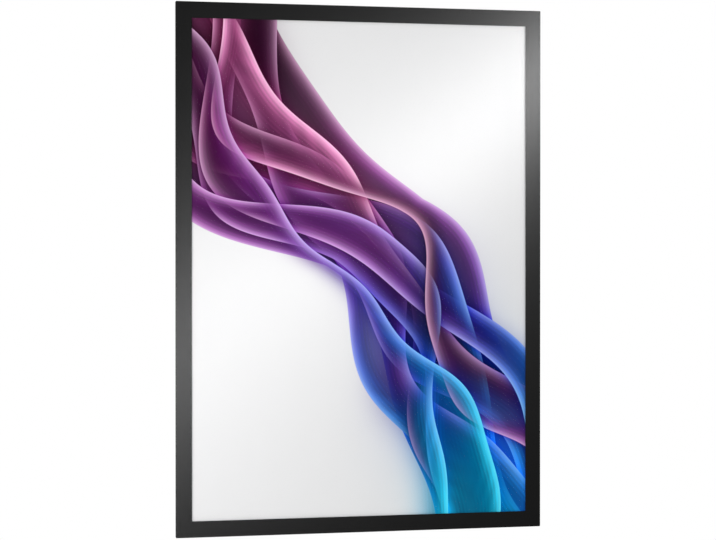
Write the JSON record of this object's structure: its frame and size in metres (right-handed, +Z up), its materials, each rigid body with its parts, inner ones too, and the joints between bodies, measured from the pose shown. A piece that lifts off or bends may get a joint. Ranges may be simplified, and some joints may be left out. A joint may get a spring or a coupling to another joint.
{
  "type": "self-adhesive poster frame",
  "caption": "Thin upright poster frame with a black magnetic border. Its clear-windowed front opens like a page from a back panel that sticks to a wall.",
  "frame": {"origin": "centre of the frame's outline, on the wall face of the adhesive strips", "axes": "+Z up along the long side, +Y into the wall, so the front faces -Y and the hinge is on the -X edge"},
  "size_m": [0.638, 0.0045, 0.885],
  "materials": {
    "tape_foam": "matte",
    "carrier_film": "gloss",
    "magnet_rubber": "matte",
    "hinge_vinyl": "satin",
    "poster_paper": "satin",
    "clear_film": "gloss",
    "black_film": "satin"
  },
  "bodies": {
    "back_panel": {"adhesive_top": "tape_foam", "adhesive_bottom": "tape_foam", "adhesive_left": "tape_foam", "adhesive_right": "tape_foam", "back_sheet": "carrier_film", "back_magnet_top": "magnet_rubber", "back_magnet_bottom": "magnet_rubber", "back_magnet_left": "magnet_rubber", "back_magnet_right": "magnet_rubber", "hinge_film": "hinge_vinyl", "poster_insert": "poster_paper"},
    "front_panel": {"front_magnet_top": "magnet_rubber", "front_magnet_bottom": "magnet_rubber", "front_magnet_left": "magnet_rubber", "front_magnet_right": "magnet_rubber", "window_film": "clear_film", "front_band": "black_film"}
  },
  "joints": [
    {"name": "front_hinge", "type": "hinge", "parent": "back_panel", "child": "front_panel", "pos_m": [-0.319, -0.00245, 0], "axis": [0, 0, -1], "range_deg": [0, 175], "deforming": ["hinge_film"]}
  ]
}
